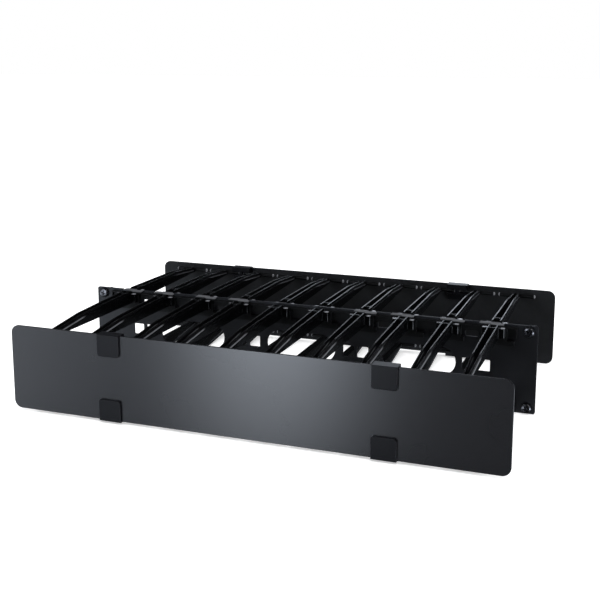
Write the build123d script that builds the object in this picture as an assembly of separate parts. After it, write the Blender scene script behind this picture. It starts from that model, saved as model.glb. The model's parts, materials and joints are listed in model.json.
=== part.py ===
from build123d import *
import os

# Horizontal cable manager for a 19 inch rack, two units high and open at both ends.
# Millimetres. X runs along the panel, Y from the front to the rear, Z up.
# The origin is the panel's centre, in the middle of its sheet.
# A depth is measured from the middle of the sheet, and a drop down from the panel's upper edge.

# Rack standard
panel_width = 482.6
panel_height = 88.1
hole_inset = 8.75
hole_drop = 5.95
slot_length = 10.3
slot_width = 7.0

# Panel sheet and its openings
panel_sheet = 2.0
panel_corner = 2.0
pass_length = 75.5
pass_height = 29.0
pass_spacing = 125.0
window_size = 12.0
window_corner = 1.0
window_places = (52.0, 67.0, 175.0, 190.5)
strap_slot_length = 12.0
strap_slot_height = 6.0
strap_slot_drop = 12.85
strap_slot_corner = 1.0

# Rows of fingers
finger_count = 10
ear_width = 19.4
comb_end = 21.875
slot_bays = (1, 3, 7, 9)
cover_bays = (2, 8)

# Base of a comb, which lies against the panel
base_depth = 4.0
base_drop = 2.25
base_height = 18.4
web_thickness = 1.4
web_height = 10.8
rim_height = 1.5
pad_half = 12.3
lip_height = 4.9
lip_gap = 5.2
arch_half = 7.05
arch_height = 11.4
arch_corner = 2.5

# Hooks of the combs over the panel's edge, and the pegs through it
hook_length = 12.0
hook_height = 1.4
hook_inset = 3.05
hook_catch = 1.6
hook_wrap = 1.0
peg_length = 4.0
peg_height = 3.6
peg_rise = 2.6
peg_start = 1.0
peg_fingers = (2, 4, 7, 9)
snap_clearance = 0.1

# One finger: a channel that is open on its outer side, with a ledge along each flank
root_half = 4.6
bend_half = 3.85
tip_half = 3.1
finger_wall = 1.3
finger_floor = 2.0
crest_rise = 2.4
crest_start = 9.0
bend_reach = 101.5
bend_fall = 1.7
bend_round = 60.0
tip_reach = 148.0
tip_fall = 5.9
root_depth = 11.3
tip_depth = 9.8
ledge_width = 0.4
ledge_bend_drop = 3.6
ledge_tip_drop = 4.0
rib_reach = 18.0
rib_thickness = 1.2
shoulder_width = 6.3
shoulder_reach = 6.5
shoulder_depth = 9.8
shoulder_round = 1.5

# Bar across each finger's end
bar_reach = 154.0
bar_drop = 9.25
bar_radius = 2.0
bar_gap = 4.0
bar_end_bevel = 0.9

# Covers
cover_drop = 2.3
cover_sheet = 2.0
cover_corner = 8.0
cover_edge_round = 0.4

# Clips that hold a cover to the bars
clip_width = 23.0
clip_drop = 21.0
clip_plate = 2.4
clip_bridge = 1.5
clip_proud = 0.5
clip_inner_wall = 1.9
clip_inner_drop = 18.5
clip_corner = 2.5
clip_edge_round = 0.5
jaw_reach = 3.2
jaw_thickness = 1.5
nub_radius = 2.0
nub_height = 1.5
nub_drop = 12.0
running_clearance = 0.1
seat_clearance = 0.05
web_clearance = 0.3

# Screws, with a bare neck under the head
screw_radius = 3.0
screw_length = 16.0
neck_radius = 2.7
neck_past_sheet = 0.4
head_radius = 5.25
head_height = 3.9
head_round = 2.6
recess_length = 5.4
recess_width = 1.1
recess_depth = 2.0

# Panel and combs, worked out from the sizes above
panel_face = panel_sheet / 2
panel_top = panel_height / 2
hole_span = panel_width - 2 * hole_inset
hole_rise = panel_height - 2 * hole_drop
strap_slot_z = panel_top - strap_slot_drop
comb_half = panel_width / 2 - ear_width
finger_pitch = 2 * (comb_half - comb_end) / (finger_count - 1)
base_face = panel_face + base_depth
base_top = panel_top - base_drop
base_bottom = base_top - base_height
notch_z = base_top - snap_clearance
peg_z = base_bottom + peg_rise

# Fingers and their bars
finger_crest = base_top + crest_rise
bend_crest = finger_crest - bend_fall
tip_crest = finger_crest - tip_fall
ledge_bend = bend_crest - ledge_bend_drop
ledge_tip = tip_crest - ledge_tip_drop
root_underside = base_top - root_depth
tip_underside = base_top - tip_depth
bar_height = panel_top - bar_drop

# Covers and clips
cover_inner = bar_reach + bar_radius + running_clearance + clip_inner_wall
cover_outer = cover_inner + cover_sheet
cover_top = panel_top - cover_drop
clip_top = cover_top + clip_proud
bridge_bottom = clip_top - clip_bridge


def box(x0, x1, y0, y1, z0, z1):
    """A block between two corners."""
    size = (abs(x1 - x0), abs(y1 - y0), abs(z1 - z0))
    centre = ((x0 + x1) / 2, (y0 + y1) / 2, (z0 + z1) / 2)
    return Pos(*centre) * Box(*size)


def finger_place(number):
    """The middle of the numbered finger, counted from one."""
    return (number - (finger_count + 1) / 2) * finger_pitch


def finger_places():
    return [finger_place(number) for number in range(1, finger_count + 1)]


def bay_centre(bay):
    """The middle of the gap after the numbered finger, counted from one."""
    return (bay - finger_count / 2) * finger_pitch


def hook_places():
    """Middles of the hooks: on the two fingers beside each slotted bay, towards the bay."""
    places = []
    for bay in slot_bays:
        reach = finger_pitch / 2 - hook_inset
        places += [bay_centre(bay) - reach, bay_centre(bay) + reach]
    return places


def upright_block(sketch, y0, y1):
    """A sketch drawn in X and Z, made solid between two depths."""
    return extrude(Plane((0, y1, 0), x_dir=(1, 0, 0), z_dir=(0, -1, 0)) * sketch, y1 - y0)


def ear_slots():
    slot = SlotOverall(slot_length, slot_width)
    sketch = Sketch()
    for x in (-hole_span / 2, hole_span / 2):
        for z in (-hole_rise / 2, hole_rise / 2):
            sketch += Pos(x, z) * slot
    return sketch


def panel_openings():
    """Cable pass-throughs, square windows, strap slots and peg holes."""
    sketch = ear_slots()
    for x in (-pass_spacing, 0, pass_spacing):
        sketch += Pos(x, 0) * SlotOverall(pass_length, pass_height)
    window = RectangleRounded(window_size, window_size, window_corner)
    for x in window_places:
        sketch += Pos(x, 0) * window
        sketch += Pos(-x, 0) * window
    strap = RectangleRounded(strap_slot_length, strap_slot_height, strap_slot_corner)
    peg_span = 2 * (peg_start + peg_length + snap_clearance)
    peg_hole = Rectangle(peg_span, peg_height + 2 * snap_clearance)
    for side in (-1, 1):
        for bay in slot_bays:
            sketch += Pos(bay_centre(bay), side * strap_slot_z) * strap
        for number in peg_fingers:
            sketch += Pos(finger_place(number), side * peg_z) * peg_hole
    return sketch


def rack_panel():
    """The sheet with its rack ears, notched at both edges for the combs' hooks."""
    outline = RectangleRounded(panel_width, panel_height, panel_corner)
    sheet = upright_block(outline - panel_openings(), -panel_face, panel_face)
    notch_half = hook_length + snap_clearance
    for x in hook_places():
        for side in (-1, 1):
            edge = side * panel_height
            sheet -= box(x - notch_half, x + notch_half, -panel_sheet, panel_sheet, side * notch_z, edge)
    return sheet


def finger_plan(inset):
    """The finger's tapering outline from above, drawn narrower by the inset."""
    root = root_half - inset
    bend = bend_half - inset
    tip = tip_half - inset
    right = [(root, panel_face), (root, rib_reach), (bend, bend_reach), (tip, tip_reach), (tip, bar_reach)]
    left = [(-x, y) for x, y in reversed(right)]
    outline = make_face(Polyline(*right, *left, close=True))
    return extrude(outline, 2 * finger_crest)


def finger_side(bend_top, line):
    """The finger's outline from the side, under a line that leads over the bend to the bar."""
    root = [(bar_reach, tip_underside), (panel_face, root_underside), (panel_face, base_top)]
    outline = make_face(Plane.YZ * Polyline(*root, *line, close=True))
    bend = outline.vertices().sort_by_distance((0, bend_reach, bend_top))[0]
    outline = fillet(bend, bend_round)
    return extrude(outline, root_half + ledge_width, both=True)


def finger_outside():
    """The walls up to their crests, and below the ledges a little wider."""
    crest = [(crest_start, finger_crest), (bend_reach, bend_crest), (tip_reach, tip_crest)]
    crest += [(bar_reach, bar_height + bar_radius)]
    ledge = [(bend_reach, ledge_bend), (tip_reach, ledge_tip), (bar_reach, ledge_tip)]
    walls = finger_plan(0) & finger_side(bend_crest, crest)
    return walls + (finger_plan(-ledge_width) & finger_side(ledge_bend, ledge))


def finger_stem():
    """A channel with a floor, two walls and one rib across it near the root."""
    start = base_face + finger_wall
    floor = [(start, root_underside + finger_floor), (tip_reach, tip_underside + finger_floor)]
    over = [(tip_reach, 2 * finger_crest), (start, 2 * finger_crest)]
    hollow = extrude(make_face(Plane.YZ * Polyline(*floor, *over, close=True)), root_half, both=True)
    hollow &= finger_plan(finger_wall)
    rib_start = rib_reach - rib_thickness / 2
    rib_end = rib_reach + rib_thickness / 2
    hollow -= box(-root_half, root_half, rib_start, rib_end, 0, 2 * finger_crest)
    return finger_outside() - hollow


def finger_shoulders():
    """The two upright ribs that brace the finger's root."""
    half = root_half + shoulder_width
    bottom = base_top - shoulder_depth
    block = box(-half, half, panel_face, base_face + shoulder_reach, bottom, base_top)
    outer = block.edges().filter_by(Axis.Z).group_by(Axis.Y)[-1]
    block = fillet(outer, shoulder_round)
    clear = root_half - finger_wall
    return block - box(-clear, clear, base_face, base_face + 2 * shoulder_reach, 0, 2 * finger_crest)


def finger_bar():
    """The round bar across the finger's end, which fills the pitch but for a cable gap."""
    bar = Cylinder(bar_radius, finger_pitch - bar_gap)
    bar = chamfer(bar.edges(), bar_end_bevel)
    return Pos(0, bar_reach, bar_height) * Rot(0, 90, 0) * bar


def finger():
    return finger_stem() + finger_shoulders() + finger_bar()


def comb_base():
    """The long web with its rim, a pad and a lip under each finger, and arches at the slots."""
    end = comb_half
    web_bottom = base_top - web_height
    base = box(-end, end, panel_face, panel_face + web_thickness, web_bottom, base_top)
    base += box(-end, end, panel_face, base_face, base_top - rim_height, base_top)
    for side in (-1, 1):
        wall = side * (end - rim_height)
        base += box(wall, side * end, panel_face, base_face, web_bottom, base_top)
    lip_half = (finger_pitch - lip_gap) / 2
    lip_top = base_bottom + lip_height
    for x in finger_places():
        base += box(x - pad_half, x + pad_half, panel_face, base_face, base_bottom, base_top)
        base += box(x - lip_half, x + lip_half, panel_face, base_face, base_bottom, lip_top)
    arch = RectangleRounded(2 * arch_half, 2 * arch_height, arch_corner)
    for bay in slot_bays:
        opening = Pos(bay_centre(bay), base_bottom) * arch
        base -= upright_block(opening, 0, 2 * base_face)
    return base


def comb_hook():
    """A tab over the panel's edge with a catch behind it. It ends at X zero."""
    top = base_top + hook_height
    back = panel_face + hook_wrap
    tab = box(-hook_length, 0, -back, base_face, base_top - rim_height, top)
    tab -= box(-2 * hook_length, hook_length, -panel_face, panel_face, 0, base_top)
    return tab - box(-2 * hook_length, hook_length, -2 * back, -panel_face, 0, base_top - hook_catch)


def finger_comb():
    """One row of fingers in one moulding, as it stands at the rear of the panel, upper edge."""
    comb = comb_base()
    one = finger()
    comb += [Pos(x, 0, 0) * one for x in finger_places()]
    rebate_depth = hook_wrap + snap_clearance
    rebate_bottom = base_top - hook_catch - snap_clearance
    for x in hook_places():
        comb -= box(x, x + hook_length + snap_clearance, panel_face, panel_face + rebate_depth,
                    rebate_bottom, base_top + hook_height)
        comb += Pos(x, 0, 0) * comb_hook()
    for number in peg_fingers:
        start = finger_place(number) - peg_start
        low = peg_z - peg_height / 2
        comb += box(start - peg_length, start, -panel_face, panel_face, low, low + peg_height)
    return comb


def cover():
    """A flat sheet, as it stands at the rear, with edge notches and nub holes for its clips."""
    outline = RectangleRounded(panel_width, 2 * cover_top, cover_corner)
    sheet = upright_block(outline, cover_inner, cover_outer)
    outer = sheet.faces().sort_by(Axis.Y)[-1]
    sheet = fillet(outer.edges(), cover_edge_round)
    half = clip_width / 2 + seat_clearance
    hole = Rot(90, 0, 0) * Cylinder(nub_radius + snap_clearance, 4 * cover_sheet)
    for bay in cover_bays:
        x = bay_centre(bay)
        for side in (-1, 1):
            low = side * (bridge_bottom - seat_clearance)
            high = side * 2 * cover_top
            sheet -= box(x - half, x + half, bar_reach, 2 * cover_outer, low, high)
            sheet -= Pos(x, cover_inner, side * (clip_top - nub_drop)) * hole
    return sheet


def clip():
    """A moulded clamp for the cover's edge, with a jaw on its inner side for the bars."""
    half = clip_width / 2
    plate_bottom = clip_top - clip_drop
    plate = box(-half, half, cover_outer, cover_outer + clip_plate, plate_bottom, clip_top)
    low_corners = plate.edges().filter_by(Axis.Y).group_by(Axis.Z)[0]
    plate = fillet(low_corners, clip_corner)
    outer = plate.faces().sort_by(Axis.Y)[-1]
    plate = fillet(outer.edges(), clip_edge_round)
    jaw_start = bar_reach - jaw_reach
    bore = bar_radius + running_clearance
    inner_bottom = clip_top - clip_inner_drop
    jaw_bottom = bar_height - bore - jaw_thickness
    bridge = box(-half, half, jaw_start, cover_outer, bridge_bottom, clip_top)
    inner = box(-half, half, bar_reach + bore, cover_inner, inner_bottom, bridge_bottom)
    jaw = box(-half, half, jaw_start, cover_inner, jaw_bottom, bridge_bottom)
    jaw -= box(-half, half, 0, bar_reach, bar_height - bore, bar_height + bore)
    jaw -= Pos(0, bar_reach, bar_height) * Rot(0, 90, 0) * Cylinder(bore, clip_width)
    web_half = bar_gap / 2 - web_clearance
    jaw += box(-web_half, web_half, jaw_start, cover_inner, jaw_bottom, bridge_bottom)
    nub = Pos(0, cover_inner + nub_height / 2, clip_top - nub_drop) * Rot(90, 0, 0)
    return plate + bridge + inner + jaw + nub * Cylinder(nub_radius, nub_height)


def screw():
    """A pan-head screw with a cross recess, its head at the front, on the Y axis."""
    head = fillet(Cylinder(head_radius, head_height).faces().sort_by(Axis.Z)[-1].edges(), head_round)
    cross = Rectangle(recess_length, recess_width) + Rectangle(recess_width, recess_length)
    head -= Pos(0, 0, head_height / 2) * extrude(cross, -recess_depth)
    head = Pos(0, -panel_face - head_height / 2, 0) * Rot(90, 0, 0) * head
    neck_length = panel_sheet + neck_past_sheet
    neck = Pos(0, -panel_face + neck_length / 2, 0) * Rot(90, 0, 0) * Cylinder(neck_radius, neck_length)
    thread_length = screw_length - neck_length
    thread = Cylinder(screw_radius, thread_length)
    thread = chamfer(thread.edges().group_by(Axis.Z)[0], screw_radius - neck_radius)
    thread = Pos(0, screw_length - panel_face - thread_length / 2, 0) * Rot(90, 0, 0) * thread
    return head + neck + thread


def save(shape, node):
    shape.label = node
    export_step(shape, f"parts/{node}.step")


# A turn of a rear upper piece to each of its four places
turns = {
    "rear_upper": Rot(0, 0, 0),
    "front_upper": Rot(0, 0, 180),
    "rear_lower": Rot(0, 180, 0),
    "front_lower": Rot(180, 0, 0),
}

os.makedirs("parts", exist_ok=True)

save(rack_panel(), "rack_panel")

comb = finger_comb()
for name, turn in turns.items():
    save(turn * comb, f"finger_comb_{name}")

rear_cover = cover()
save(rear_cover, "rear_cover")
save(Rot(0, 0, 180) * rear_cover, "front_cover")

one_clip = clip()
for name, turn in turns.items():
    for bay in cover_bays:
        placed = turn * Pos(bay_centre(bay), 0, 0) * one_clip
        side = "left" if placed.center().X < 0 else "right"
        save(placed, f"clip_{name}_{side}")

one_screw = screw()
for height, z in (("upper", hole_rise / 2), ("lower", -hole_rise / 2)):
    for side, x in (("left", -hole_span / 2), ("right", hole_span / 2)):
        save(Pos(x, 0, z) * one_screw, f"mounting_screw_{height}_{side}")
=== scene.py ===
import json
import math

import bmesh
import bpy
from mathutils import Matrix, Vector


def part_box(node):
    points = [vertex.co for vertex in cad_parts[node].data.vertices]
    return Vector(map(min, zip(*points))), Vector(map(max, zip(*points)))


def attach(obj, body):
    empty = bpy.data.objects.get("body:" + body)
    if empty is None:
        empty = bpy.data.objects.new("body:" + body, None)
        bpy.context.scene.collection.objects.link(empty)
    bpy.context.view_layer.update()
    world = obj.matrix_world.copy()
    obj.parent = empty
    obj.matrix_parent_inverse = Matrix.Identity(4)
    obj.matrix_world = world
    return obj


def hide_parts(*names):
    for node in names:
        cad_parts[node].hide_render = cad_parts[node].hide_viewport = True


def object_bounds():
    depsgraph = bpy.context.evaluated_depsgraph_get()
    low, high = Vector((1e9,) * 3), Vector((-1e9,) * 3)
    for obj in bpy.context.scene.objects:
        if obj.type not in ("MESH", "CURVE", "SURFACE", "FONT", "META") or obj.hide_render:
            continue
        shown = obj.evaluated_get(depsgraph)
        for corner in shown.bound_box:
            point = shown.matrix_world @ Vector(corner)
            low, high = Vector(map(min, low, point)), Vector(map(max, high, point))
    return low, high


# The looks of a horizontal cable manager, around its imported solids. Metres, Z up.

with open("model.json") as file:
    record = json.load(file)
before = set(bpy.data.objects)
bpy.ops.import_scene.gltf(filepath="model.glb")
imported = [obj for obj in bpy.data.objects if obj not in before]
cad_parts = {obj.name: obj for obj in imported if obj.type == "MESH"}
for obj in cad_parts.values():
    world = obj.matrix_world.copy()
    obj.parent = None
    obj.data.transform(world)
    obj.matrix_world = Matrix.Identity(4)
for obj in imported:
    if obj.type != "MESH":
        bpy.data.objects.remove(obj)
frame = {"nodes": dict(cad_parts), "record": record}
cad_low, cad_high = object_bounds()

MM = 0.001

# Camera, fitted to the photograph's view from the front right: angles in degrees, lens in millimetres
CAMERA_AZIMUTH = 20.01
CAMERA_ELEVATION = 10.09
CAMERA_DISTANCE = 1.0109
CAMERA_TARGET = Vector((-0.0012, 0.0, 0.1248))
CAMERA_LENS = 59.28
CAMERA_SENSOR = 36.0
CAMERA_SHIFT = -0.12
CAMERA_CLIP = (0.01, 50.0)

# Sizes of the solids that the looks follow. Depths and heights start at the panel's middle.
COVER_FACE = -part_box("front_cover")[0].y
FINGER_PITCH = 44.45 * MM
CREST_START = (9.0 * MM, 44.2 * MM)
CREST_BEND = (101.5 * MM, 42.5 * MM)
CREST_TIP = (148.0 * MM, 38.3 * MM)
LEDGE_BEND = (101.5 * MM, 38.9 * MM)
LEDGE_TIP = (148.0 * MM, 34.3 * MM)
BASE_TOP = 41.8 * MM
BAR_HALF = 20.225 * MM

# Limits of looks, a little off the edges that they follow
COVER_SKIN = 0.8 * MM
LEDGE_LIMIT = 0.2 * MM
BASE_LIMIT = 5.2 * MM
HOOK_LIMIT = 5.3 * MM
HOOK_FOOT = 42.3 * MM
SHOULDER_LIMIT = 12.0 * MM
BAR_LIMIT = 151.0 * MM

# Half width of a finger's dull channel, at two depths
CHANNEL_START = (18.0 * MM, 3.55 * MM)
CHANNEL_END = (148.0 * MM, 2.05 * MM)
CHANNEL_SOFT = 0.1 * MM

# Glossy band along a finger's crest, and band along the base's upper edge
CREST_BAND = 0.8 * MM
TOP_BAND = 0.5 * MM

# Painted highlights on the fingers, pale colour where light catches their edges, and how pale each is. Left
# shoulders and rear ledges, turned from the light, have only a share of it.
PAINTED_HIGHLIGHT_COLOUR = (0.27, 0.278, 0.302)
HOOK_HIGHLIGHT = 0.28
SHOULDER_HIGHLIGHT = 0.75
SHOULDER_HIGHLIGHT_START = 8.0 * MM
SHOULDER_HIGHLIGHT_SIDE = 7.3 * MM
SHOULDER_HIGHLIGHT_SOFT = 0.8 * MM
SHOULDER_LEFT_SHARE = 0.3
LEDGE_BAND = 0.6 * MM
LEDGE_HIGHLIGHT_SOFT = 3.0 * MM
LEDGE_PAST_TIP = 2.0 * MM
LEDGE_SIDE = 2.2 * MM
LEDGE_REAR_SHARE = 0.25
BAR_END_HIGHLIGHT = 0.75
BAR_END_HIGHLIGHT_LENGTH = 1.4 * MM
SIDE_BLEND = 1.0 * MM

# Patterns of the materials
NOISE_DETAIL = 3.0
NOISE_ROUGHNESS = 0.55
NOISE_RANGE = (0.3, 0.7)
GLOSS_PATCH_GRAINS = 6
BEVEL_SAMPLES = 6

# A mix node's sockets: its factor, and for numbers and colours the first value, second value and result
MIX_FACTOR = 0
MIX_NUMBERS = (2, 3, 0)
MIX_COLOURS = (6, 7, 2)

# Screws, close to the solids' sizes, with a thread and a tapered cross recess. Turns are in radians.
SCREW_SPACING = frame["record"]["mounts"][0]["dims"]
SCREW_AXIS_X = SCREW_SPACING["spacing_x_mm"] / 2 * MM
SCREW_AXIS_Z = SCREW_SPACING["spacing_y_mm"] / 2 * MM
SCREW_TURNS = {"upper_left": 0.2, "upper_right": 0.65, "lower_left": 0.75, "lower_right": 1.2}
PANEL_FACE = 1.0 * MM
SCREW_LENGTH = 16.0 * MM
TIP_FLAT_SHARE = 0.55
THREAD_RADIUS = 3.0 * MM
THREAD_ROOT = 2.4 * MM
THREAD_PITCH = 1.0 * MM
THREAD_START = 2.4 * MM
THREAD_FADE = 1.2 * MM
THREAD_LEAST = 0.25
NECK_RADIUS = 2.7 * MM
HEAD_RADIUS = 5.25 * MM
HEAD_HEIGHT = 3.9 * MM
HEAD_ROUND = 2.6 * MM
HEAD_DOME = 0.25 * MM
HEAD_EDGE = 0.15 * MM
RECESS_DEPTH = 2.3 * MM
RECESS_ARM = 2.75 * MM
RECESS_WIDTH = 1.15 * MM
RECESS_TAPER = 0.62
RECESS_FLARE = 1.1
RECESS_MARGIN = 0.5 * MM

# Steps of a screw's mesh
ROUND_STEPS = 48
RINGS_PER_PITCH = 8
ROUND_RINGS = 10
DOME_SHARES = (0.66, 0.33, 0.0)

# Stage, in metres
FLOOR_HALF = 12.0
FLOOR_PATCH = 0.4
FLOOR_GLOW = 0.5
ROOM_COLOUR = (0.9, 0.95, 1.0, 1.0)
ROOM_STRENGTH = 0.04
WHITE = (1.0, 1.0, 1.0, 1.0)
CARD_COLOUR = (0.83, 0.9, 1.0, 1.0)
CARD_DISTANCE = 1.5
UNIT_SQUARE_HALF = 0.5


def facing(azimuth, elevation):
    """The direction from the object to a viewer at that azimuth and elevation, in degrees."""
    a = math.radians(azimuth)
    e = math.radians(elevation)
    return Vector((math.sin(a) * math.cos(e), -math.cos(a) * math.cos(e), math.sin(e)))


def new_object(name, data):
    """An object with that data, linked to the scene."""
    piece = bpy.data.objects.new(name, data)
    bpy.context.collection.objects.link(piece)
    return piece


def object_from(mesh, name):
    """An object with the shape of a bmesh, which is freed."""
    data = bpy.data.meshes.new(name)
    mesh.to_mesh(data)
    mesh.free()
    return new_object(name, data)


def make_camera():
    data = bpy.data.cameras.new("camera")
    camera = new_object("camera", data)
    data.lens = CAMERA_LENS
    data.sensor_width = CAMERA_SENSOR
    data.shift_y = CAMERA_SHIFT
    data.clip_start, data.clip_end = CAMERA_CLIP
    back = facing(CAMERA_AZIMUTH, CAMERA_ELEVATION)
    camera.location = CAMERA_TARGET + back * CAMERA_DISTANCE
    camera.rotation_euler = back.to_track_quat("Z", "Y").to_euler()
    bpy.context.scene.camera = camera


# Nodes that the materials are made of

def new_material(name, shader_type="ShaderNodeBsdfPrincipled"):
    """A material with one shader node, linked to its output."""
    material = bpy.data.materials.new(name)
    material.use_nodes = True
    nodes = material.node_tree.nodes
    nodes.clear()
    output = nodes.new("ShaderNodeOutputMaterial")
    shader = nodes.new(shader_type)
    material.node_tree.links.new(shader.outputs[0], output.inputs["Surface"])
    return material, shader


def noise(material, feature):
    """A noise pattern whose features are about that many metres across."""
    nodes = material.node_tree.nodes
    place = nodes.new("ShaderNodeTexCoord")
    pattern = nodes.new("ShaderNodeTexNoise")
    pattern.inputs["Scale"].default_value = 1.0 / feature
    pattern.inputs["Detail"].default_value = NOISE_DETAIL
    pattern.inputs["Roughness"].default_value = NOISE_ROUGHNESS
    material.node_tree.links.new(place.outputs["Object"], pattern.inputs["Vector"])
    return pattern.outputs["Fac"]


def positions(material, space="Object"):
    """The three coordinates of the surface: in metres at rest, or as shares of the object's box."""
    nodes = material.node_tree.nodes
    place = nodes.new("ShaderNodeTexCoord")
    split = nodes.new("ShaderNodeSeparateXYZ")
    material.node_tree.links.new(place.outputs[space], split.inputs["Vector"])
    return [split.outputs[axis] for axis in ("X", "Y", "Z")]


def formula(material, operation, *values):
    """A math node on numbers and sockets."""
    node = material.node_tree.nodes.new("ShaderNodeMath")
    node.operation = operation
    for socket, value in zip(node.inputs, values):
        if isinstance(value, (int, float)):
            socket.default_value = value
        else:
            material.node_tree.links.new(value, socket)
    return node.outputs[0]


def magnitude(material, value):
    """A number without its sign."""
    return formula(material, "ABSOLUTE", value)


def minus(material, value, taken):
    """The value less what is taken from it."""
    return formula(material, "SUBTRACT", value, taken)


def line_height(material, y, start, end):
    """The height at that depth of a straight line through two points, each a depth and a height."""
    slope = (end[1] - start[1]) / (end[0] - start[0])
    return formula(material, "MULTIPLY_ADD", y, slope, start[1] - slope * start[0])


def spread(material, value, low, high, start=NOISE_RANGE[0], end=NOISE_RANGE[1]):
    """The value from start to end, by default a noise's usual range, mapped to low to high."""
    ramp = material.node_tree.nodes.new("ShaderNodeMapRange")
    ramp.inputs["From Min"].default_value = start
    ramp.inputs["From Max"].default_value = end
    ramp.inputs["To Min"].default_value = low
    ramp.inputs["To Max"].default_value = high
    material.node_tree.links.new(value, ramp.inputs["Value"])
    return ramp.outputs["Result"]


def drifting(material, feature, low, high):
    """A number that drifts between low and high, over features about that many metres across."""
    return spread(material, noise(material, feature), low, high)


def above(material, value, limit, soft=0.2 * MM):
    """A mask: 1 above the limit and 0 below it."""
    return spread(material, value, 0.0, 1.0, limit - soft, limit + soft)


def below(material, value, limit, soft=0.2 * MM):
    """A mask: 1 below the limit and 0 above it."""
    return spread(material, value, 1.0, 0.0, limit - soft, limit + soft)


def all_of(material, *masks):
    """The product of masks and numbers."""
    total = masks[0]
    for mask in masks[1:]:
        total = formula(material, "MULTIPLY", total, mask)
    return total


def any_of(material, *masks):
    """The highest of several masks."""
    total = masks[0]
    for mask in masks[1:]:
        total = formula(material, "MAXIMUM", total, mask)
    return total


def tint(material, value, dark, light):
    """A colour between two, by the value."""
    mix = material.node_tree.nodes.new("ShaderNodeMix")
    mix.data_type = "RGBA"
    first, second, result = MIX_COLOURS
    mix.inputs[first].default_value = (*dark, 1.0)
    mix.inputs[second].default_value = (*light, 1.0)
    material.node_tree.links.new(value, mix.inputs[MIX_FACTOR])
    return mix.outputs[result]


def change(material, socket, mask, value):
    """Where the mask is 1, a socket's linked number or colour gives way to another."""
    links = material.node_tree.links
    before = socket.links[0].from_socket
    is_number = socket.type == "VALUE"
    mix = material.node_tree.nodes.new("ShaderNodeMix")
    mix.data_type = "FLOAT" if is_number else "RGBA"
    first, second, result = MIX_NUMBERS if is_number else MIX_COLOURS
    links.new(mask, mix.inputs[MIX_FACTOR])
    links.new(before, mix.inputs[first])
    if isinstance(value, tuple):
        mix.inputs[second].default_value = (*value, 1.0)
    else:
        links.new(value, mix.inputs[second])
    links.new(mix.outputs[result], socket)


def soft_edges(material, radius):
    """Normals that round each sharp edge by that radius."""
    bevel = material.node_tree.nodes.new("ShaderNodeBevel")
    bevel.samples = BEVEL_SAMPLES
    bevel.inputs["Radius"].default_value = radius
    return bevel.outputs["Normal"]


def relief(material, height, depth, normal=None):
    """Normals of a surface whose height pattern is that deep."""
    bump = material.node_tree.nodes.new("ShaderNodeBump")
    bump.inputs["Distance"].default_value = depth
    bump.inputs["Strength"].default_value = 1.0
    material.node_tree.links.new(height, bump.inputs["Height"])
    if normal is not None:
        material.node_tree.links.new(normal, bump.inputs["Normal"])
    return bump.outputs["Normal"]


def finish_surface(name, colours, roughness, grain, grain_depth, edge=0.0, patch=0.03, specular=0.5):
    """A paint or plastic whose colour and gloss drift a little. Its grain is a fine relief."""
    material, shader = new_material(name)
    links = material.node_tree.links
    cloud = drifting(material, patch, 0.0, 1.0)
    gloss = drifting(material, grain * GLOSS_PATCH_GRAINS, *roughness)
    rounded = soft_edges(material, edge) if edge else None
    links.new(tint(material, cloud, *colours), shader.inputs["Base Color"])
    links.new(gloss, shader.inputs["Roughness"])
    links.new(relief(material, noise(material, grain), grain_depth, rounded), shader.inputs["Normal"])
    shader.inputs["Specular IOR Level"].default_value = specular
    return material, shader


# Materials, one for each slot of the record

def panel_paint():
    """Black powder coat with a fine orange peel."""
    colours = ((0.0056, 0.006, 0.0082), (0.0072, 0.0077, 0.0102))
    return finish_surface(
        "panel_paint", colours, roughness=(0.42, 0.5), grain=0.7 * MM, grain_depth=0.012 * MM,
        edge=0.25 * MM, specular=0.35)[0]


def cover_paint():
    """Charcoal satin paint, smoother than the panel's, and duller on the side that faces the cables, where
    its colour is also painted darker as shade.
    """
    colours = ((0.0125, 0.013, 0.0152), (0.0142, 0.0147, 0.0172))
    material, shader = finish_surface(
        "cover_paint", colours, roughness=(0.212, 0.224), grain=0.9 * MM, grain_depth=0.0005 * MM,
        patch=0.06)
    depth = magnitude(material, positions(material)[1])
    inside = below(material, depth, COVER_FACE - COVER_SKIN)
    dull = drifting(material, feature=5.4 * MM, low=0.74, high=0.8)
    change(material, shader.inputs["Roughness"], inside, dull)
    # Painted shade: the inner face gets a much darker colour, for the shade inside the manager
    change(material, shader.inputs["Base Color"], inside, (0.0032, 0.0033, 0.0042))
    return material


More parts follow.
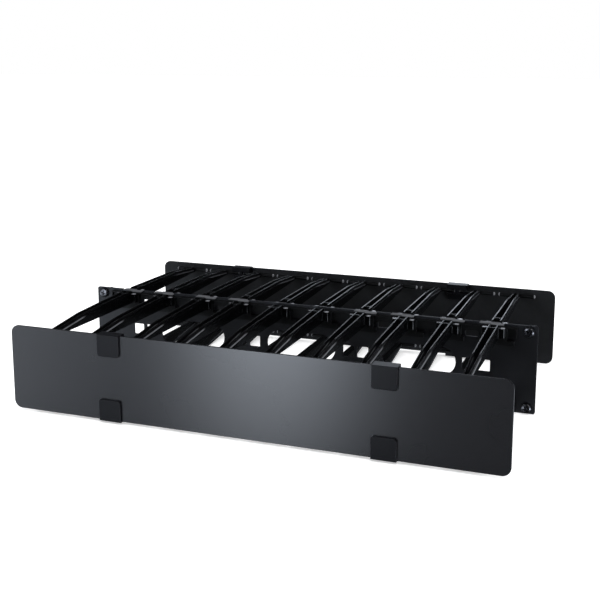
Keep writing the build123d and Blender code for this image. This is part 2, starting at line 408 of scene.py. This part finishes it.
def finger_plastic():
    """Glossy black moulded plastic, dull in its recesses, with painted highlights in pale colour on its
    hooks, shoulders, ledges and bar ends.
    """
    colours = ((0.0016, 0.0017, 0.002), (0.0023, 0.0024, 0.0028))
    material, shader = finish_surface(
        "finger_plastic", colours, roughness=(0.2, 0.27), grain=1.6 * MM, grain_depth=0.006 * MM,
        edge=0.5 * MM, specular=0.28)
    # All four combs are one shape turned, and a finger is in the middle of each pitch
    x, depth, height = positions(material)
    y = magnitude(material, depth)
    z = magnitude(material, height)
    along = formula(material, "FLOORED_MODULO", x, FINGER_PITCH)
    off_middle = minus(material, along, FINGER_PITCH / 2)
    aside = magnitude(material, off_middle)
    crest = formula(material, "MINIMUM", line_height(material, y, CREST_START, CREST_BEND),
                    line_height(material, y, CREST_BEND, CREST_TIP))
    ledge = line_height(material, y, LEDGE_BEND, LEDGE_TIP)
    dull_recesses(material, shader, y, z, aside, crest, ledge)

    # Painted highlights: pale colour on hooks, shoulder tops, ledges and bar ends where light catches them,
    # weaker on the left shoulders and rear ledges
    to_right = spread(material, off_middle, SHOULDER_LEFT_SHARE, 1.0, -SIDE_BLEND, SIDE_BLEND)
    to_front = spread(material, depth, 1.0, LEDGE_REAR_SHARE, -SIDE_BLEND, SIDE_BLEND)
    off_ledge = magnitude(material, minus(material, z, ledge))
    hook = all_of(material, above(material, z, HOOK_FOOT), below(material, y, HOOK_LIMIT))
    shoulder = all_of(
        material, above(material, y, SHOULDER_HIGHLIGHT_START), below(material, y, SHOULDER_LIMIT),
        above(material, z, BASE_TOP - TOP_BAND),
        above(material, aside, SHOULDER_HIGHLIGHT_SIDE, SHOULDER_HIGHLIGHT_SOFT))
    ledges = all_of(
        material, below(material, off_ledge, LEDGE_BAND), above(material, aside, LEDGE_SIDE),
        above(material, y, LEDGE_BEND[0], LEDGE_HIGHLIGHT_SOFT),
        below(material, y, LEDGE_TIP[0] + LEDGE_PAST_TIP))
    bar_end = all_of(
        material, above(material, aside, BAR_HALF - BAR_END_HIGHLIGHT_LENGTH), above(material, y, BAR_LIMIT))
    painted_highlight = any_of(
        material, all_of(material, hook, HOOK_HIGHLIGHT), all_of(material, shoulder, to_right, SHOULDER_HIGHLIGHT),
        all_of(material, ledges, to_front), all_of(material, bar_end, BAR_END_HIGHLIGHT))
    # Painted highlight: the base colour turns pale where these masks are on
    change(material, shader.inputs["Base Color"], painted_highlight, PAINTED_HIGHLIGHT_COLOUR)
    return material


def dull_recesses(material, shader, y, z, aside, crest, ledge):
    """Dulls a finger's channel, its flanks over the ledge and its base, and most of all the base's rim."""
    channel_side = line_height(material, y, CHANNEL_START, CHANNEL_END)
    in_channel = above(material, minus(material, channel_side, aside), 0.0, CHANNEL_SOFT)
    on_base = below(material, y, BASE_LIMIT)
    over_ledge = above(material, minus(material, z, ledge), LEDGE_LIMIT)
    under_crest = above(material, minus(material, crest, z), CREST_BAND)
    recesses = all_of(material, any_of(material, in_channel, on_base, over_ledge), under_crest)
    rim = all_of(material, on_base, above(material, z, BASE_TOP - TOP_BAND), below(material, z, HOOK_FOOT))
    dull = drifting(material, feature=9.0 * MM, low=0.58, high=0.66)
    dullest = drifting(material, feature=7.0 * MM, low=0.9, high=0.98)
    change(material, shader.inputs["Roughness"], recesses, dull)
    change(material, shader.inputs["Roughness"], rim, dullest)


def clip_plastic():
    """Matte black plastic with a spark-eroded grain."""
    colours = ((0.0046, 0.0048, 0.0062), (0.006, 0.0062, 0.0078))
    return finish_surface(
        "clip_plastic", colours, roughness=(0.28, 0.31), grain=0.5 * MM, grain_depth=0.0015 * MM,
        edge=0.45 * MM, specular=0.15)[0]


def screw_steel():
    """Blackened steel."""
    material, shader = new_material("screw_steel")
    links = material.node_tree.links
    shader.inputs["Metallic"].default_value = 1.0
    cloud = drifting(material, feature=1.5 * MM, low=0.0, high=1.0)
    colour = tint(material, cloud, dark=(0.1, 0.1, 0.108), light=(0.15, 0.15, 0.16))
    gloss = drifting(material, feature=0.4 * MM, low=0.22, high=0.34)
    grain = noise(material, feature=0.3 * MM)
    rounded = soft_edges(material, radius=0.12 * MM)
    links.new(colour, shader.inputs["Base Color"])
    links.new(gloss, shader.inputs["Roughness"])
    links.new(relief(material, grain, depth=0.004 * MM, normal=rounded), shader.inputs["Normal"])
    return material


MATERIALS = {
    "panel_paint": panel_paint(),
    "cover_paint": cover_paint(),
    "finger_plastic": finger_plastic(),
    "clip_plastic": clip_plastic(),
    "screw_steel": screw_steel(),
}


def dress_solids():
    for part in frame["record"]["subparts"]:
        solid = frame["nodes"][part["node"]]
        for slot in solid.material_slots:
            slot.material = MATERIALS[part["material_slot"]]


# Screws

def screw_rings():
    """Rings from the screw's tip to its head's middle: depth, radius, and share of the thread's height."""
    tip = SCREW_LENGTH - PANEL_FACE
    start = THREAD_START - PANEL_FACE
    rings = [(tip, 0.0, 0.0), (tip, TIP_FLAT_SHARE * THREAD_ROOT, 0.0)]
    count = int((tip - start) / THREAD_PITCH * RINGS_PER_PITCH)
    for i in range(count + 1):
        y = tip - (tip - start) * i / count
        to_end = min(tip - y, y - start)
        ridge = min(1.0, to_end / THREAD_FADE + THREAD_LEAST)
        rings.append((y, THREAD_ROOT, ridge))

    rings.append((start, NECK_RADIUS, 0.0))
    rings.append((-PANEL_FACE, NECK_RADIUS, 0.0))
    rings.append((-PANEL_FACE, HEAD_RADIUS - HEAD_EDGE, 0.0))
    rings.append((-PANEL_FACE - HEAD_EDGE, HEAD_RADIUS, 0.0))
    flat = HEAD_RADIUS - HEAD_ROUND
    for i in range(ROUND_RINGS + 1):
        turn = math.pi / 2 * i / ROUND_RINGS
        y = -PANEL_FACE - (HEAD_HEIGHT - HEAD_ROUND) - (HEAD_ROUND - HEAD_DOME) * math.sin(turn)
        rings.append((y, flat + HEAD_ROUND * math.cos(turn), 0.0))
    for share in DOME_SHARES:
        lift = HEAD_DOME * (1 - share * share)
        rings.append((-PANEL_FACE - HEAD_HEIGHT + HEAD_DOME - lift, flat * share, 0.0))
    return rings


def screw_body():
    """The screw's surface: its rings joined by faces. A ring of no radius is one point."""
    mesh = bmesh.new()
    rows = []
    for y, radius, ridge in screw_rings():
        if radius == 0.0:
            rows.append([mesh.verts.new((0.0, y, 0.0))])
            continue
        ring = []
        for i in range(ROUND_STEPS):
            share = i / ROUND_STEPS
            wave = abs(2 * ((y / THREAD_PITCH + share) % 1.0) - 1)
            r = radius + ridge * (THREAD_RADIUS - THREAD_ROOT) * wave
            angle = 2 * math.pi * share
            ring.append(mesh.verts.new((r * math.cos(angle), y, r * math.sin(angle))))
        rows.append(ring)
    for before, after in zip(rows, rows[1:]):
        for i in range(ROUND_STEPS):
            j = (i + 1) % ROUND_STEPS
            corners = [before[i % len(before)], before[j % len(before)]]
            corners += [after[j % len(after)], after[i % len(after)]]
            mesh.faces.new(list(dict.fromkeys(corners)))
    bmesh.ops.recalc_face_normals(mesh, faces=mesh.faces)
    return mesh


def recess_tool():
    """Two crossed wedges that narrow towards the recess's floor."""
    mesh = bmesh.new()
    front = -PANEL_FACE - HEAD_HEIGHT - RECESS_MARGIN
    floor = -PANEL_FACE - HEAD_HEIGHT + RECESS_DEPTH
    for swap in (False, True):
        corners = []
        for y, share in ((front, RECESS_FLARE), (floor, RECESS_TAPER)):
            reach = RECESS_ARM * share
            half = RECESS_WIDTH / 2 * min(share, 1.0)
            for u, v in ((-reach, -half), (reach, -half), (reach, half), (-reach, half)):
                corners.append(mesh.verts.new((v, y, u) if swap else (u, y, v)))
        for quad in ((0, 1, 2, 3), (7, 6, 5, 4), (0, 4, 5, 1), (1, 5, 6, 2), (2, 6, 7, 3), (3, 7, 4, 0)):
            mesh.faces.new([corners[i] for i in quad])
    bmesh.ops.recalc_face_normals(mesh, faces=mesh.faces)
    return mesh


def screw_mesh():
    """One screw's finished mesh, with its recess cut."""
    body = object_from(screw_body(), "screw_blank")
    tool = object_from(recess_tool(), "recess_tool")
    cut = body.modifiers.new("recess", "BOOLEAN")
    cut.operation = "DIFFERENCE"
    cut.solver = "EXACT"
    cut.use_self = True
    cut.object = tool
    done = bpy.data.meshes.new_from_object(body.evaluated_get(bpy.context.evaluated_depsgraph_get()))
    for scrap in (body, tool):
        bpy.data.objects.remove(scrap)
    done.name = "screw"
    done.materials.clear()
    done.materials.append(MATERIALS["screw_steel"])
    return done


def make_screws():
    mesh = screw_mesh()
    for height, z in (("upper", SCREW_AXIS_Z), ("lower", -SCREW_AXIS_Z)):
        for side, x in (("left", -SCREW_AXIS_X), ("right", SCREW_AXIS_X)):
            data = mesh.copy()
            data.transform(Matrix.Rotation(SCREW_TURNS[f"{height}_{side}"], 4, "Y"))
            piece = new_object(f"threaded_screw_{height}_{side}", data)
            piece.location = (x, 0.0, z)
            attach(piece, "frame")
            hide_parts(f"mounting_screw_{height}_{side}")


# Stage

def make_floor():
    """A pale floor that glows a little, so that it meets the white behind the object."""
    mesh = bmesh.new()
    bmesh.ops.create_grid(mesh, x_segments=1, y_segments=1, size=FLOOR_HALF)
    floor = object_from(mesh, "floor")
    floor.location = (0.0, 0.0, cad_low.z)
    material, shader = new_material("floor_pale")
    cloud = drifting(material, FLOOR_PATCH, low=0.0, high=1.0)
    colour = tint(material, cloud, dark=(0.86, 0.865, 0.875), light=(0.89, 0.893, 0.9))
    material.node_tree.links.new(colour, shader.inputs["Base Color"])
    shader.inputs["Roughness"].default_value = 0.9
    shader.inputs["Specular IOR Level"].default_value = 0.1
    shader.inputs["Emission Color"].default_value = WHITE
    shader.inputs["Emission Strength"].default_value = FLOOR_GLOW
    floor.data.materials.append(material)
    floor.visible_glossy = False


def card(name, azimuth, width, low, high, strength, fade=(1.0, 1.0), distance=CARD_DISTANCE):
    """A soft upright reflector that only shiny surfaces see.
    It fades to its sides and to its ends, as a sine to each power of fade."""
    mesh = bmesh.new()
    bmesh.ops.create_grid(mesh, x_segments=1, y_segments=1, size=UNIT_SQUARE_HALF)
    piece = object_from(mesh, name)
    towards = facing(azimuth, elevation=0.0)
    piece.rotation_euler = (-towards).to_track_quat("Z", "Y").to_euler()
    piece.location = towards * distance + Vector((0.0, 0.0, (low + high) / 2))
    piece.scale = (width, high - low, 1.0)

    material, light = new_material(name, "ShaderNodeEmission")
    waves = []
    for share, power in zip(positions(material, "Generated"), fade):
        wave = formula(material, "SINE", formula(material, "MULTIPLY", share, math.pi))
        waves.append(formula(material, "POWER", wave, power))
    light.inputs["Color"].default_value = CARD_COLOUR
    material.node_tree.links.new(all_of(material, *waves, strength), light.inputs["Strength"])
    material.cycles.emission_sampling = "NONE"
    piece.data.materials.append(material)
    piece.visible_camera = False
    piece.visible_diffuse = False
    piece.visible_shadow = False
    piece.visible_transmission = False


def softbox(name, place, size, power, colour=(1.0, 1.0, 1.0)):
    """A square light that is aimed at the object's middle."""
    data = bpy.data.lights.new(name, "AREA")
    data.shape = "RECTANGLE"
    data.size = size
    data.size_y = size
    data.energy = power
    data.color = colour
    lamp = new_object(name, data)
    lamp.location = place
    lamp.rotation_euler = Vector(place).to_track_quat("Z", "Y").to_euler()
    lamp.visible_camera = False


def daylight(name, strength, width_degrees):
    """A very soft light from straight above, that evens the floor."""
    data = bpy.data.lights.new(name, "SUN")
    data.energy = strength
    data.angle = math.radians(width_degrees)
    lamp = new_object(name, data)
    lamp.visible_camera = False
    lamp.visible_glossy = False


def make_world():
    """White behind the object for the camera, and a dim cool room for everything else."""
    world = bpy.data.worlds.new("studio")
    bpy.context.scene.world = world
    world.use_nodes = True
    nodes = world.node_tree.nodes
    links = world.node_tree.links
    nodes.clear()
    output = nodes.new("ShaderNodeOutputWorld")
    rays = nodes.new("ShaderNodeLightPath")
    mix = nodes.new("ShaderNodeMixShader")
    room = nodes.new("ShaderNodeBackground")
    room.inputs["Color"].default_value = ROOM_COLOUR
    room.inputs["Strength"].default_value = ROOM_STRENGTH
    paper = nodes.new("ShaderNodeBackground")
    paper.inputs["Color"].default_value = WHITE
    paper.inputs["Strength"].default_value = 1.0
    links.new(rays.outputs["Is Camera Ray"], mix.inputs["Fac"])
    links.new(room.outputs["Background"], mix.inputs[1])
    links.new(paper.outputs["Background"], mix.inputs[2])
    links.new(mix.outputs["Shader"], output.inputs["Surface"])


def make_lights():
    """Lamps, and the cards whose reflections draw the bright bands on the covers, fingers and hooks."""
    daylight("skylight", strength=3.4, width_degrees=70.0)
    softbox("front_left", (-1.6, -1.5, 1.3), size=1.0, power=10.0, colour=(0.93, 0.97, 1.0))
    softbox("front_right", (1.8, -1.2, 1.5), size=0.8, power=6.0)
    card("cover_band", azimuth=-18.2, width=0.62, low=-0.8, high=1.0, strength=12.6, fade=(2.2, 1.2))
    card("cover_side_band", azimuth=-47.0, width=1.1, low=-0.9, high=0.9, strength=2.4, fade=(1.5, 0.8))
    card("rear_band", azimuth=187.0, width=1.24, low=0.36, high=0.7, strength=3.9, fade=(0.8, 0.9),
         distance=2.0)
    card("right_low_band", azimuth=75.0, width=1.2, low=-0.9, high=-0.1, strength=12.0)
    card("back_band", azimuth=208.0, width=1.2, low=-0.9, high=0.12, strength=9.0, fade=(1.4, 1.0))
    card("back_right_band", azimuth=118.0, width=0.9, low=-0.9, high=0.25, strength=5.0, fade=(1.5, 1.2))
    card("left_low_band", azimuth=268.0, width=1.0, low=-0.9, high=-0.1, strength=5.0)


bpy.context.scene.view_settings.view_transform = "Standard"
make_camera()
make_world()
make_lights()
make_floor()
dress_solids()
make_screws()
